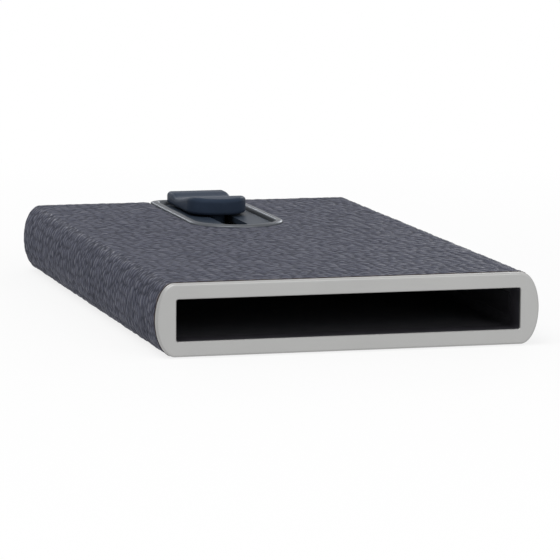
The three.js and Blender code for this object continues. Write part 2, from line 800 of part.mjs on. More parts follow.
const slider = new THREE.Group();
slider.position.set(window_offset, 0, 0);
body.add(slider);
piece(slider, "thumb_button", thumbButton(), navy);
piece(slider, "slider_carriage", sliderCarriage(), steel);
const pad_x = carriage_width / 2 - pad_side_margin;
piece(slider, "carriage_pad_left", carriagePad(), felt, -pad_x);
piece(slider, "carriage_pad_right", carriagePad(), felt, pad_x - pad_width);
stem_screw_depths.forEach((y, i) => {
  piece(slider, `stem_screw_${["front", "rear"][i]}`, stemScrew(), steel, 0, y, carriage_bottom);
});
piece(slider, "card_pusher", cardPusher(), black);
pusher_screw_places.forEach((x, i) => {
  piece(slider, `pusher_screw_${["left", "right"][i]}`, pusherScrew(), steel,
    x, pusher_screw_y, carriage_top + seat_gap);
});

export default cardCase;
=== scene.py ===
"""Looks of the slim card case: pebbled leather, anodised metal, satin plastic.

The fixed frame is in metres. The pieces below are worked out in millimetres, in the same
axes: the mouth faces -Y, the button stands on top, and the case lies on z = 0.
"""

import json
import math

import bpy
import numpy as np
from mathutils import Matrix, Vector


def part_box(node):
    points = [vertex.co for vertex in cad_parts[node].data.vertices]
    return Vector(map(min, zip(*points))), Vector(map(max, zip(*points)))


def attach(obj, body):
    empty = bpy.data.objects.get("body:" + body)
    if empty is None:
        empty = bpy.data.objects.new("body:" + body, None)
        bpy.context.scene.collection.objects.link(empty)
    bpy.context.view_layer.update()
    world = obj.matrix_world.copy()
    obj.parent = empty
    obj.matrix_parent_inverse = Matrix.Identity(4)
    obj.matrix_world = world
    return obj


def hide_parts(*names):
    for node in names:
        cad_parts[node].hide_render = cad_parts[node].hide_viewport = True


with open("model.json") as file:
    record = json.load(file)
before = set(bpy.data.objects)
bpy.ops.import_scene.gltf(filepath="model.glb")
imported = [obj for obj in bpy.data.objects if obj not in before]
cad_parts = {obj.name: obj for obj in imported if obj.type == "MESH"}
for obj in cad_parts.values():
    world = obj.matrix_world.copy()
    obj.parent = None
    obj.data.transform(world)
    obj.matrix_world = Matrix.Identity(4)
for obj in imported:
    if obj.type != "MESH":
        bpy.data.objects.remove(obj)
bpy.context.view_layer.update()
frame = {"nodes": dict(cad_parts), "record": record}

MM = 0.001


def box_mm(node):
    """Lowest and highest corner of a node of the frame, in millimetres."""
    low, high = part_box(node)
    return np.array(low) / MM, np.array(high) / MM


# Driving sizes, in mm

FRAME_LOW, FRAME_HIGH = box_mm("mouth_frame")
WRAP_LOW, WRAP_HIGH = box_mm("leather_wrap")
BEZEL_LOW, BEZEL_HIGH = box_mm("window_bezel")
BUTTON_LOW, BUTTON_HIGH = box_mm("thumb_button")
PANEL_LOW, PANEL_HIGH = box_mm("rear_leather")
TRACK_TOP = box_mm("track_plate")[1][2]

CASE_HALF_WIDTH = FRAME_HIGH[0]
CASE_HEIGHT = FRAME_HIGH[2]
SIDE_BULGE = 3.05          # half width of the half ellipses at the sides
FLAT_HALF_WIDTH = CASE_HALF_WIDTH - SIDE_BULGE
MID_HEIGHT = CASE_HEIGHT / 2
SUPPORT = 0.04             # between an edge's round and the flat beside it

FRAME_EDGE_RADIUS = 0.3
FRAME_LIP = 0.5
RIM_SETBACK = 0.14         # of the rim below the leather's face, so that the cut edge shows
APERTURE_HALF_WIDTH = 27.5
APERTURE_HALF_HEIGHT = 3.25
APERTURE_RADIUS = 0.3
APERTURE_CHAMFER = 0.1
REBATE = 0.55              # wider than the aperture, for the collar's rim

WINDOW_X = (BEZEL_LOW[0] + BEZEL_HIGH[0]) / 2
BEZEL_HALF_WIDTH = (BEZEL_HIGH[0] - BEZEL_LOW[0]) / 2
BEZEL_WIDTH = 1.45
BEZEL_CORNER_RADIUS = 2.0
BEZEL_CREST = 0.9          # from the ring's outer wall to its crest
BEZEL_SHOULDER = 0.36      # height of the outer flank
BEZEL_OVERHANG = 0.1       # of the slope's foot over the gap round the floor
BEZEL_SINK = 0.04          # of the slope's foot below the floor's top

BUTTON_X = (BUTTON_LOW[0] + BUTTON_HIGH[0]) / 2
BUTTON_HALF_WIDTH = (BUTTON_HIGH[0] - BUTTON_LOW[0]) / 2
BUTTON_FRONT, BUTTON_REAR = BUTTON_LOW[1], BUTTON_HIGH[1]
BUTTON_FLOAT = 0.35        # air between the button and the track plate
BUTTON_BOTTOM = TRACK_TOP + BUTTON_FLOAT
BUTTON_HEIGHT = BUTTON_HIGH[2] - BUTTON_BOTTOM
BUTTON_EDGE_RADIUS = 0.75
BUTTON_FOOT_RADIUS = 0.65
BUTTON_CORNER_RADIUS = 0.6
BUTTON_CORNER_LEAST = 0.12 # of the corners' radius on the inset loops of the edge
DISH_PLACE_SHARES = [0, 0.15, 0.7, 0.86, 1]        # of the button's length
DISH_HEIGHT_SHARES = [0.965, 1, 0.6, 0.75, 0.75]   # of its height, at those places
FLUTE_PITCH = 2.4          # of the shallow flutes down the nose
FLUTE_DEPTH = 0.1
STEM_WIDTH = 3.4
STEM_SETBACK = 3.6
STEM_TAIL = 3.4
STEM_CORNER_MARGIN = 0.04  # by which the rear corners fall short of a half round
TRACK_EDGE_BEVEL = 0.08

LEATHER_THICKNESS = 0.8
LEATHER_COLUMN_STEP = 0.26 # between the leather's vertices, round the case
LEATHER_ROW_STEP = 0.22    # and along it
LEATHER_EDGE_GAP = 0.04
WRAP_END_RADIUS = 0.35
SEAM_SHARE = 0.62          # of the way from the underside's middle to its left edge
SEAM_X = -SEAM_SHARE * FLAT_HALF_WIDTH
SEAM_WIDTH = 0.08
SEAM_CLOSING = 0.035       # of each side of the seam towards the other, on the flesh side
EDGE_DROP = 0.05           # the leather's face sinks this far at the window
EDGE_REACH = 0.3           # over which the grain flattens out towards the front and the window
REAR_REACH = 1.6           # and towards the rear
EDGE_FLATTENING_SHARE = 0.65                       # of the grain's depth, lost at an edge
# Reach of the dark brown band at the leather's edges: partly a burnished edge, partly painted shade of the
# gap beside the next part
BURNISH_AND_GAP_SHADE_REACH = 0.3
PANEL_ROWS = 41
PANEL_COLUMNS = 181
PANEL_GRAIN_SHIFT = 3 * CASE_HALF_WIDTH            # so that the panel's grain isn't the wrap's

# The grain. What is named _CELLS is counted in pebbles, and the shares are of the grain's depth

GRAIN_CELL = 1.25          # across a pebble of the leather
GRAIN_STRETCH = 1.45       # of the pebbles across the case
GRAIN_DEPTH = 0.26         # from a pebble's top to the bottom of a crease
JITTER_MARGIN_CELLS = 0.08 # least way from a pebble's centre to the sides of its cell
BEND_CELLS = 1.6           # size of the bends in the net of pebbles
BEND_DEPTH_CELLS = 0.5
WRINKLE_CELLS = 0.55       # size of the fine net of wrinkles
WRINKLE_REACH_CELLS = 0.35 # of a wrinkle, in the cells of that fine net
WRINKLE_SHARE = 0.14
CREASE_PATCH_CELLS = 1.2
SHALLOW_CREASE_SHARE = 0.7
PEBBLE_SPREAD_SHARE = 0.08
SWELL_CELLS = 4            # size of the slow swell under the pebbles
SWELL_SPREAD_SHARE = 0.06

# Stage. Lengths are in metres

FLOOR_SIZE = 6.0
FLOOR_GAP = 0.0001
FLOOR_GREY = 0.95
FLOOR_WHITE_SHARE = 0.82   # of white in the floor's look under the case
SHADOW_REACH = (0.07, 0.22)                        # where the floor turns white
AMBIENT = 0.45             # strength of the world's light
CAMERA_PLACE = (-0.158987, -0.580115, 0.090431)
CAMERA_YAW, CAMERA_PITCH, CAMERA_ROLL = map(math.radians, (15.569, 8.165, 0.340))
CAMERA_FOCAL_PIXELS = 3653.7
PICTURE_WIDTH_PIXELS = 560
CAMERA_CLIP_START = 0.01
SENSOR_WIDTH_MM = 36


# Small helpers

def lattice(seed, shape):
    """Random numbers from 0 to 1, the same for the same seed and shape."""
    return np.random.default_rng(seed).uniform(0, 1, shape)


def eased(share):
    """A share from 0 to 1 that starts and ends gently."""
    return share * share * (3 - 2 * share)


def smooth_noise(u, v, cell, seed):
    """Value noise from 0 to 1 over two coordinates in mm."""
    a, b = u / cell, v / cell
    i, j = np.floor(a).astype(int), np.floor(b).astype(int)
    i0, j0 = i.min(), j.min()
    table = lattice(seed, (i.max() - i0 + 2, j.max() - j0 + 2))
    s, t = eased(a - i), eased(b - j)
    i, j = i - i0, j - j0
    low = table[i, j] * (1 - s) + table[i + 1, j] * s
    high = table[i, j + 1] * (1 - s) + table[i + 1, j + 1] * s
    return low * (1 - t) + high * t


def cells(u, v, cell, seed):
    """For jittered cells: the gap between the two nearest centres, and a number for each cell."""
    a, b = u / cell, v / cell
    i, j = np.floor(a).astype(int), np.floor(b).astype(int)
    i0, j0 = i.min() - 1, j.min() - 1
    size = (i.max() - i0 + 2, j.max() - j0 + 2)
    jitter = JITTER_MARGIN_CELLS + (1 - 2 * JITTER_MARGIN_CELLS) * lattice(seed, (*size, 2))
    value = lattice(seed + 1, size)
    first = np.full(u.shape, np.inf)
    second = np.full(u.shape, np.inf)
    nearest = np.zeros(u.shape)
    for di in (-1, 0, 1):
        for dj in (-1, 0, 1):
            p, q = i + di - i0, j + dj - j0
            far = np.hypot(i + di + jitter[p, q, 0] - a, j + dj + jitter[p, q, 1] - b)
            closer = far < first
            second = np.where(closer, first, np.minimum(second, far))
            nearest = np.where(closer, value[p, q], nearest)
            first = np.where(closer, far, first)
    return second - first, nearest


def grain(u, v):
    """Height of the leather's grain, from 0 at the bottom of a crease to 1 on a tall pebble."""
    u = u / GRAIN_STRETCH

    def bent(places, seed):
        bend = smooth_noise(u, v, GRAIN_CELL * BEND_CELLS, seed) - 0.5
        return places + GRAIN_CELL * BEND_DEPTH_CELLS * bend

    net = bent(u, seed=11), bent(v, seed=12)
    gap, value = cells(*net, GRAIN_CELL, seed=21)
    wrinkle_gap, _ = cells(*net, GRAIN_CELL * WRINKLE_CELLS, seed=31)
    crease = 1 - np.sin(np.clip(gap, 0, 1) * math.pi / 2)
    patches = smooth_noise(u, v, GRAIN_CELL * CREASE_PATCH_CELLS, seed=51)
    dome = 1 - crease * (SHALLOW_CREASE_SHARE + (1 - SHALLOW_CREASE_SHARE) * patches)
    wrinkle = (1 - np.clip(wrinkle_gap / WRINKLE_REACH_CELLS, 0, 1)) ** 2
    swell = smooth_noise(u, v, GRAIN_CELL * SWELL_CELLS, seed=41)
    height = 1 - PEBBLE_SPREAD_SHARE * (1 - value) - SWELL_SPREAD_SHARE * (1 - swell)
    return dome * height * (1 - WRINKLE_SHARE * wrinkle)


def make_piece(name, points, faces, body, slot, replaced, extra=(), sharp=60):
    """A smooth mesh piece from points in mm, with edges over the sharp angle left sharp. It rides
    on a body, has its slot's finish and any extra ones, and stands for the replaced node."""
    mesh = bpy.data.meshes.new(name)
    corners = (np.asarray(points, float) * MM).tolist()
    mesh.from_pydata(corners, [], [[int(i) for i in face] for face in faces])
    for material in (FINISHES[slot], *extra):
        mesh.materials.append(material)
    mesh.shade_smooth()
    piece = bpy.data.objects.new(name, mesh)
    bpy.context.scene.collection.objects.link(piece)
    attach(piece, body)
    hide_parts(replaced)
    mesh.set_sharp_from_angle(angle=math.radians(sharp))
    return piece


def loft(loops, cyclic=False):
    """Points and quads between loops of equal count. A cyclic loft joins the last loop to the first."""
    count = len(loops[0])
    points = np.concatenate([np.asarray(loop, float) for loop in loops])
    faces = []
    last = len(loops) if cyclic else len(loops) - 1
    for i in range(last):
        a = i * count
        b = (i + 1) % len(loops) * count
        for j in range(count):
            k = (j + 1) % count
            faces.append((a + j, a + k, b + k, b + j))
    return points, faces


def even_loop(polyline, count):
    """A closed polyline, sampled at equal steps along its length."""
    closed = np.vstack([polyline, polyline[:1]])
    along = np.concatenate([[0], np.cumsum(np.hypot(*np.diff(closed, axis=0).T))])
    marks = np.linspace(0, along[-1], count, endpoint=False)
    return np.stack([np.interp(marks, along, closed[:, k]) for k in (0, 1)], 1)


def case_section(steps=400):
    """Outline of the case in x and z, from the bottom's middle, counter-clockwise seen from the mouth.
    Gives the points, the direction in which an inset moves them, and the normals."""
    t = np.linspace(-math.pi / 2, math.pi / 2, steps)
    c, s = np.cos(t), np.sin(t)
    normal = np.stack([MID_HEIGHT * c, SIDE_BULGE * s], 1)
    normal /= np.hypot(*normal.T)[:, None]
    side = np.stack([FLAT_HALF_WIDTH + SIDE_BULGE * c, MID_HEIGHT + MID_HEIGHT * s], 1)
    mirror = np.array([-1, 1])
    bottom = np.array([[0, 0.0]])
    down = np.array([[0, -1.0]])
    points = np.vstack([bottom, side, side[::-1] * mirror, bottom])
    inward = -np.vstack([down, np.stack([c, s], 1), np.stack([c, s], 1)[::-1] * mirror, down])
    outward = np.vstack([down, normal, normal[::-1] * mirror, down])
    return points, inward, outward


def case_loop(inset, count):
    """The case's outline at an inset, sampled at equal steps."""
    points, inward, _ = case_section()
    return even_loop((points + inset * inward)[:-1], count)


def aperture_loop(grow, count, steps=24):
    """The card aperture in x and z, grown by a margin, from the bottom's middle."""
    half = np.array([APERTURE_HALF_WIDTH, APERTURE_HALF_HEIGHT]) + grow
    radius = APERTURE_RADIUS + grow
    points = [(0, MID_HEIGHT - half[1])]
    for quarter, way in enumerate([(1, -1), (1, 1), (-1, 1), (-1, -1)]):
        centre = way * (half - radius) + (0, MID_HEIGHT)
        for angle in (quarter - 1) * math.pi / 2 + np.linspace(0, math.pi / 2, steps):
            points.append(centre + radius * np.array([math.cos(angle), math.sin(angle)]))
    return even_loop(np.array(points), count)


def at_depth(loop, y):
    """A loop in x and z, placed at a depth."""
    return np.stack([loop[:, 0], np.full(len(loop), y), loop[:, 1]], 1)


def at_height(loop, z):
    """A loop in plan, placed at a height, or at a height for each point."""
    return np.stack([loop[:, 0], loop[:, 1], np.broadcast_to(z, len(loop))], 1)


def nose_loop(half_width, front, rear, corner, arc=48, side=40, turn=10):
    """A plan with a half round nose, straight sides and small rear corners, from the nose
    up the right side, along the rear and down the left side."""
    centre = front + half_width
    t = np.linspace(0, math.pi / 2, arc, endpoint=False)
    right = list(zip(half_width * np.sin(t), centre - half_width * np.cos(t)))
    side_end = rear - corner
    right += [(half_width, centre + (side_end - centre) * k / side) for k in range(side)]
    t = np.linspace(0, math.pi / 2, turn + 1)
    right += list(zip(half_width - corner + corner * np.cos(t), side_end + corner * np.sin(t)))
    left = [(-x, y) for x, y in right[:0:-1]]
    return np.array(right + left)


def quarter_round(radius, steps):
    """Insets and rises of a quarter round, from its foot to its crown."""
    t = np.linspace(0, math.pi / 2, steps + 1)
    return list(zip(radius * (1 - np.cos(t)), radius * np.sin(t)))


# Materials

SOCKETS = {"rough": "Roughness", "metal": "Metallic", "specular": "Specular IOR Level",
           "tint": "Specular Tint", "sheen": "Sheen Weight"}
MIX_FACTOR, MIX_FIRST, MIX_SECOND, MIX_RESULT = 0, 6, 7, 2      # sockets of a mix node for colours


def linear(*srgb):
    """A colour as the eye sees it, 0 to 255, as the shader's linear values."""
    share = np.array(srgb) / 255
    low, high = share / 12.92, ((share + 0.055) / 1.055) ** 2.4
    return (*np.where(share <= 0.04045, low, high), 1)


class Finish:
    """A principled material with helpers for its procedural detail, in object coordinates.
    Values that are the same all over the surface are given by their names in SOCKETS."""

    def __init__(self, name, **values):
        self.material = bpy.data.materials.new(name)
        self.material.use_nodes = True
        self.tree = self.material.node_tree
        self.shader = self.tree.nodes["Principled BSDF"]
        for key, value in values.items():
            self.shader.inputs[SOCKETS[key]].default_value = value
        self.place = self.node("ShaderNodeTexCoord").outputs["Object"]

    def node(self, kind, **settings):
        made = self.tree.nodes.new(kind)
        for key, value in settings.items():
            setattr(made, key, value)
        return made

    def link(self, source, target):
        self.tree.links.new(source, target)

    def stretched(self, x, y, z):
        """Object coordinates in mm, scaled along each axis."""
        mapping = self.node("ShaderNodeMapping")
        mapping.inputs["Scale"].default_value = (x / MM, y / MM, z / MM)
        self.link(self.place, mapping.inputs["Vector"])
        return mapping.outputs["Vector"]

    def noise(self, size, detail, stretch=(1, 1, 1), distortion=0.0):
        """Noise whose features are about size mm across."""
        made = self.node("ShaderNodeTexNoise")
        made.inputs["Scale"].default_value = 1 / size
        made.inputs["Detail"].default_value = detail
        made.inputs["Distortion"].default_value = distortion
        self.link(self.stretched(*stretch), made.inputs["Vector"])
        return made.outputs["Fac"]

    def ramp(self, factor, *stops):
        """A colour that runs through stops, each a place from 0 to 1 and a colour."""
        made = self.node("ShaderNodeValToRGB")
        elements = made.color_ramp.elements
        for element, (place, colour) in zip(elements, stops, strict=True):
            element.position, element.color = place, colour
        self.link(factor, made.inputs["Fac"])
        return made.outputs["Color"]

    def blend(self, factor, first, second):
        """A mix of two colours, each a colour or a socket."""
        made = self.node("ShaderNodeMix", data_type="RGBA")
        for value, index in ((factor, MIX_FACTOR), (first, MIX_FIRST), (second, MIX_SECOND)):
            if isinstance(value, tuple):
                made.inputs[index].default_value = value
            else:
                self.link(value, made.inputs[index])
        return made.outputs[MIX_RESULT]

    def ranged(self, factor, low, high, start=0.0, end=1.0):
        """A value that goes from low to high while the factor goes from start to end."""
        made = self.node("ShaderNodeMapRange")
        for key, value in zip(("From Min", "From Max", "To Min", "To Max"), (start, end, low, high)):
            made.inputs[key].default_value = value
        self.link(factor, made.inputs["Value"])
        return made.outputs["Result"]

    def colour(self, source):
        self.link(source, self.shader.inputs["Base Color"])

    def rough(self, source):
        self.link(source, self.shader.inputs["Roughness"])

    def bump(self, height, depth):
        """Adds relief of a given depth in mm, over any set before."""
        made = self.node("ShaderNodeBump")
        made.inputs["Strength"].default_value = 1
        made.inputs["Distance"].default_value = depth * MM
        self.link(height, made.inputs["Height"])
        before = self.shader.inputs["Normal"].links
        if before:
            self.link(before[0].from_socket, made.inputs["Normal"])
        self.link(made.outputs["Normal"], self.shader.inputs["Normal"])

    def attribute(self, name):
        return self.node("ShaderNodeAttribute", attribute_name=name).outputs["Fac"]


def leather_finish():
    made = Finish("leather_grain", specular=0.035)
    height = made.attribute("grain")
    tone = made.noise(size=14, detail=2)
    pebble = made.blend(tone, linear(78, 80, 93), linear(83, 85, 98))
    # Painted shade: the creases of the grain get a darker colour, for the shade that falls in them
    top = made.ranged(height, low=0, high=1, start=0.05, end=0.65)
    colour = made.blend(top, linear(42, 44, 54), pebble)
    # Partly a burnished edge and partly painted shade: a dark brown band along the leather's edge at the
    # metal rim and round the rear panel, for the shade in the gap between the parts
    made.colour(made.blend(made.attribute("burnish_and_gap_shade"), colour, linear(62, 46, 43)))
    made.rough(made.ranged(height, low=0.65, high=0.36, start=0.15, end=0.85))
    made.bump(made.noise(size=0.16, detail=4, distortion=0.4), depth=0.01)
    made.bump(made.noise(size=0.55, detail=3, distortion=1.2), depth=0.03)
    return made.material


def leather_core_finish():
    made = Finish("leather_cut_edge", rough=0.85)
    fibre = made.noise(size=0.12, detail=5, stretch=(1, 1, 2.5))
    made.colour(made.ramp(fibre, (0.3, linear(40, 30, 29)), (0.7, linear(66, 52, 50))))
    made.bump(fibre, depth=0.02)
    return made.material


def rim_finish():
    made = Finish("rim_anodised", metal=0.85)
    blast = made.noise(size=0.11, detail=4)
    made.colour(made.blend(made.noise(size=9, detail=2), linear(164, 164, 163), linear(169, 169, 168)))
    made.rough(made.ranged(blast, low=0.46, high=0.58))
    made.bump(blast, depth=0.0025)
    return made.material


def bezel_finish():
    made = Finish("bezel_satin", metal=0.75, tint=(0.45, 0.46, 0.48, 1))
    polish = made.noise(size=0.2, detail=3, stretch=(1, 0.25, 1))
    made.colour(made.blend(polish, linear(88, 91, 95), linear(96, 99, 103)))
    made.rough(made.ranged(polish, low=0.26, high=0.32))
    made.bump(polish, depth=0.001)
    return made.material


def tube_finish():
    made = Finish("tube_extruded", metal=1)
    draw = made.noise(size=0.25, detail=4, stretch=(1, 0.03, 1))
    made.colour(made.ramp(draw, (0.3, linear(132, 135, 138)), (0.7, linear(152, 155, 157))))
    made.rough(made.ranged(draw, low=0.36, high=0.54))
    made.bump(draw, depth=0.004)
    return made.material


def track_finish():
    made = Finish("track_slate", metal=0.1, specular=0.06)
    brush = made.noise(size=0.14, detail=4, stretch=(1, 0.06, 1))
    made.colour(made.ramp(brush, (0.3, linear(41, 49, 60)), (0.7, linear(47, 56, 68))))
    made.rough(made.ranged(brush, low=0.4, high=0.54))
    made.bump(brush, depth=0.003)
    return made.material


def liner_finish(name, dark, light):
    made = Finish(name, specular=0.1)
    spark = made.noise(size=0.18, detail=4)
    made.colour(made.ramp(made.noise(size=3, detail=3), (0.35, dark), (0.7, light)))
    made.rough(made.ranged(spark, low=0.6, high=0.75))
    made.bump(spark, depth=0.005)
    return made.material


def button_finish():
    made = Finish("button_navy", specular=0.05, tint=(0.75, 0.88, 1, 1))
    spark = made.noise(size=0.13, detail=4)
    cloud = made.noise(size=5, detail=2)
    made.colour(made.ramp(cloud, (0.3, linear(44, 54, 69)), (0.7, linear(48, 58, 74))))
    made.rough(made.ranged(spark, low=0.44, high=0.54))
    made.bump(spark, depth=0.003)
    return made.material


def felt_finish():
    made = Finish("felt_black", rough=0.95, sheen=0.02, specular=0.05)
    fibre = made.noise(size=0.09, detail=6, distortion=2)
    made.colour(made.ramp(fibre, (0.3, linear(36, 36, 40)), (0.75, linear(52, 52, 57))))
    made.bump(fibre, depth=0.05)
    return made.material


def steel_finish():
    made = Finish("screw_steel", metal=1)
    turn = made.noise(size=0.1, detail=3, stretch=(1, 1, 0.2))
    made.colour(made.ramp(turn, (0.3, linear(148, 148, 146)), (0.7, linear(168, 168, 165))))
    made.rough(made.ranged(turn, low=0.25, high=0.4))
    made.bump(turn, depth=0.002)
    return made.material


FINISHES = {
    "rim_metal": rim_finish(),
    "bezel_metal": bezel_finish(),
    "tube_metal": tube_finish(),
    "track_metal": track_finish(),
    "leather": leather_finish(),
    "liner_plastic": liner_finish("liner_black", linear(48, 47, 52), linear(56, 55, 60)),
    "button_plastic": button_finish(),
    "felt": felt_finish(),
    "screw_steel": steel_finish(),
}
CUT_EDGE = leather_core_finish()
# Painted light: a lighter copy of the black liner for the floor, ceiling and pusher inside the card space,
# so that the dim slot looks lit
LINER_PAINTED_LIGHT = liner_finish("liner_black_painted_light", linear(60, 60, 64), linear(66, 66, 70))

for subpart in frame["record"]["subparts"]:
    node = frame["nodes"][subpart["node"]]
    node.data.materials.clear()
    node.data.materials.append(FINISHES[subpart["material_slot"]])
# The lighter copy of the liner, which is painted light, goes on the inside of the card space
for name in ("liner_floor", "liner_ceiling", "card_pusher"):
    frame["nodes"][name].data.materials[0] = LINER_PAINTED_LIGHT


# Leather

def grid_quads(rows, columns):
    """Quads of a grid of points counted row by row, facing rows x columns."""
    i, j = np.meshgrid(np.arange(rows - 1), np.arange(columns - 1), indexing="ij")
    a = (i * columns + j).ravel()
    return np.stack([a, a + columns, a + columns + 1, a + 1], 1)


def flesh_strips(kept, on_rim):
    """Faces of the flesh side: one strip for each column of kept quads, through points on the rim.
    The quads kept of a column are its first ones."""
    columns = on_rim.shape[1]
    strips = []
    for j in range(columns - 1):
        last = np.count_nonzero(kept[:, j])
        up = np.flatnonzero(on_rim[:last + 1, j]) * columns + j
        down = np.flatnonzero(on_rim[:last + 1, j + 1])[::-1] * columns + j + 1
        strips.append([*up, *down][::-1])
    return strips


def leather_sheet(name, replaced, place, flesh, kept, grained, burnish_and_gap_shade):
    """A closed leather sheet from a grid of points and the quads kept of it: the grained face, the
    flesh side under it in long strips, and a cut edge all round."""
    rows, columns = kept.shape[0] + 1, kept.shape[1] + 1
    quads = grid_quads(rows, columns)[kept.ravel()]
    # An edge that only one quad has is on the rim
    edges = np.concatenate([quads[:, [k, (k + 1) % 4]] for k in range(4)])
    key = np.sort(edges, 1) @ np.array([len(place), 1])
    _, where, often = np.unique(key, return_index=True, return_counts=True)
    rim = edges[where[often == 1]]
    face_points = np.unique(quads)
    rim_points = np.unique(rim)
    face_index = np.full(len(place), -1)
    face_index[face_points] = np.arange(len(face_points))
    flesh_index = np.full(len(place), -1)
    flesh_index[rim_points] = len(face_points) + np.arange(len(rim_points))
    on_rim = (flesh_index >= 0).reshape(rows, columns)
    a, b = rim.T
    walls = np.stack([face_index[b], face_index[a], flesh_index[a], flesh_index[b]], 1)
    strips = [flesh_index[strip] for strip in flesh_strips(kept, on_rim)]
    every = [*face_index[quads].tolist(), *walls.tolist(), *strips]
    points = np.concatenate([place[face_points], flesh[rim_points]])
    piece = make_piece(name, points, every, "case", "leather", replaced, extra=[CUT_EDGE])
    # The grained face has the first material, and all else the cut edge's
    index = np.ones(len(every), np.int32)
    index[:len(quads)] = 0
    piece.data.polygons.foreach_set("material_index", index)
    for label, values in (("grain", grained), ("burnish_and_gap_shade", burnish_and_gap_shade)):
        layer = piece.data.attributes.new(label, "FLOAT", "POINT")
        both = np.concatenate([values[face_points], values[rim_points]])
        layer.data.foreach_set("value", both.astype(np.float32))


def window_outline():
    """Half width of the leather's window, and the depth at which its round nose is centred."""
    half = BEZEL_HALF_WIDTH + LEATHER_EDGE_GAP
    return half, BEZEL_LOW[1] - LEATHER_EDGE_GAP + half


def window_distance(x, y):
    """How far a place lies outside the leather's window. Negative inside it."""
    half, centre = window_outline()
    across = np.abs(x - WINDOW_X)
    return np.where(y >= centre, across - half, np.hypot(across, y - centre) - half)


def snap_to_window(place, which):
    """Moves the chosen points in plan onto the outline of the leather's window."""
    half, centre = window_outline()
    spot = place[which]
    dx = spot[:, 0] - WINDOW_X
    dy = np.minimum(spot[:, 1] - centre, 0)
    scale = half / np.hypot(dx, dy)
    spot[:, 0] = WINDOW_X + dx * scale
    spot[:, 1] += dy * (scale - 1)
    place[which] = spot


def wrap_stations():
    """Places along the case and insets of the leather's rows, with its rear edge rounded."""
    front, rear = WRAP_LOW[1], WRAP_HIGH[1]
    straight_end = rear - WRAP_END_RADIUS
    count = round((straight_end - front) / LEATHER_ROW_STEP)
    rows = [(y, 0.0) for y in np.linspace(front, straight_end, count + 1)]
    for inset, rise in quarter_round(WRAP_END_RADIUS, steps=4)[1:]:
        rows.append((straight_end + rise, inset))
    return np.array(rows)


def leather_wrap():
    """The leather round the case, from one side of the seam on the underside to the other."""
    points, inward, outward = case_section()
    along = np.concatenate([[0], np.cumsum(np.hypot(*np.diff(points, axis=0).T))])
    perimeter = along[-1]
    count = round((perimeter - SEAM_WIDTH) / LEATHER_COLUMN_STEP)
    s = np.linspace(SEAM_X + SEAM_WIDTH / 2, perimeter + SEAM_X - SEAM_WIDTH / 2, count + 1)

    def sampled(table, marks=s):
        return np.stack([np.interp(marks % perimeter, along, table[:, k]) for k in (0, 1)], 1)

    outline, inset_way, normal = sampled(points), sampled(inward), sampled(outward)
    rows = wrap_stations()
    columns = len(s)
    y = np.repeat(rows[:, 0], columns)
    inset = np.repeat(rows[:, 1], columns)
    way = np.tile(inset_way, (len(rows), 1))
    out = np.tile(normal, (len(rows), 1))
    across = np.tile(s, len(rows))
    bare = np.tile(outline, (len(rows), 1)) + inset[:, None] * way
    place = np.stack([bare[:, 0], y, bare[:, 1]], 1)
    closing = np.zeros(columns)
    closing[[0, -1]] = -SEAM_CLOSING, SEAM_CLOSING
    flesh_outline = sampled(points, s + closing) + LEATHER_THICKNESS * inset_way
    flesh_xz = np.tile(flesh_outline, (len(rows), 1))
    flesh = np.stack([flesh_xz[:, 0], y, flesh_xz[:, 1]], 1)

    # The quads inside the window go, and the points round it move onto its outline
    quads = grid_quads(len(rows), columns)
    top = place[:, 2] > MID_HEIGHT
    middle = place[quads].mean(1)
    gone = (middle[:, 2] > MID_HEIGHT) & (window_distance(middle[:, 0], middle[:, 1]) < 0)
    border = np.intersect1d(quads[gone], quads[~gone])
    snap_to_window(place, border)
    flesh[border, :2] = place[border, :2]

    # The grain, pressed flatter towards the edges
    from_window = np.maximum(window_distance(place[:, 0], place[:, 1]), 0)
    from_window = np.where(top, from_window, CASE_HALF_WIDTH)
    from_front = y - WRAP_LOW[1]
    at_window = np.exp(-(from_window / EDGE_REACH) ** 2)
    at_front = np.exp(-(from_front / EDGE_REACH) ** 2)
    at_rear = np.exp(-((WRAP_HIGH[1] - y) / REAR_REACH) ** 2)
    grained = grain(across, y)
    pressed = 1 - EDGE_FLATTENING_SHARE * np.maximum.reduce([at_window, at_front, at_rear])
    drop = GRAIN_DEPTH * (1 - grained) * pressed + EDGE_DROP * at_window
    place[:, 0] -= drop * out[:, 0]
    place[:, 2] -= drop * out[:, 1]
    # Partly burnish, partly painted shade of the gap at the metal rim: darker towards the front edge
    burnish_and_gap_shade = np.exp(-(from_front / BURNISH_AND_GAP_SHADE_REACH) ** 2)
    kept = ~gone.reshape(len(rows) - 1, columns - 1)
    leather_sheet("leather_skin", "leather_wrap", place, flesh, kept, grained, burnish_and_gap_shade)


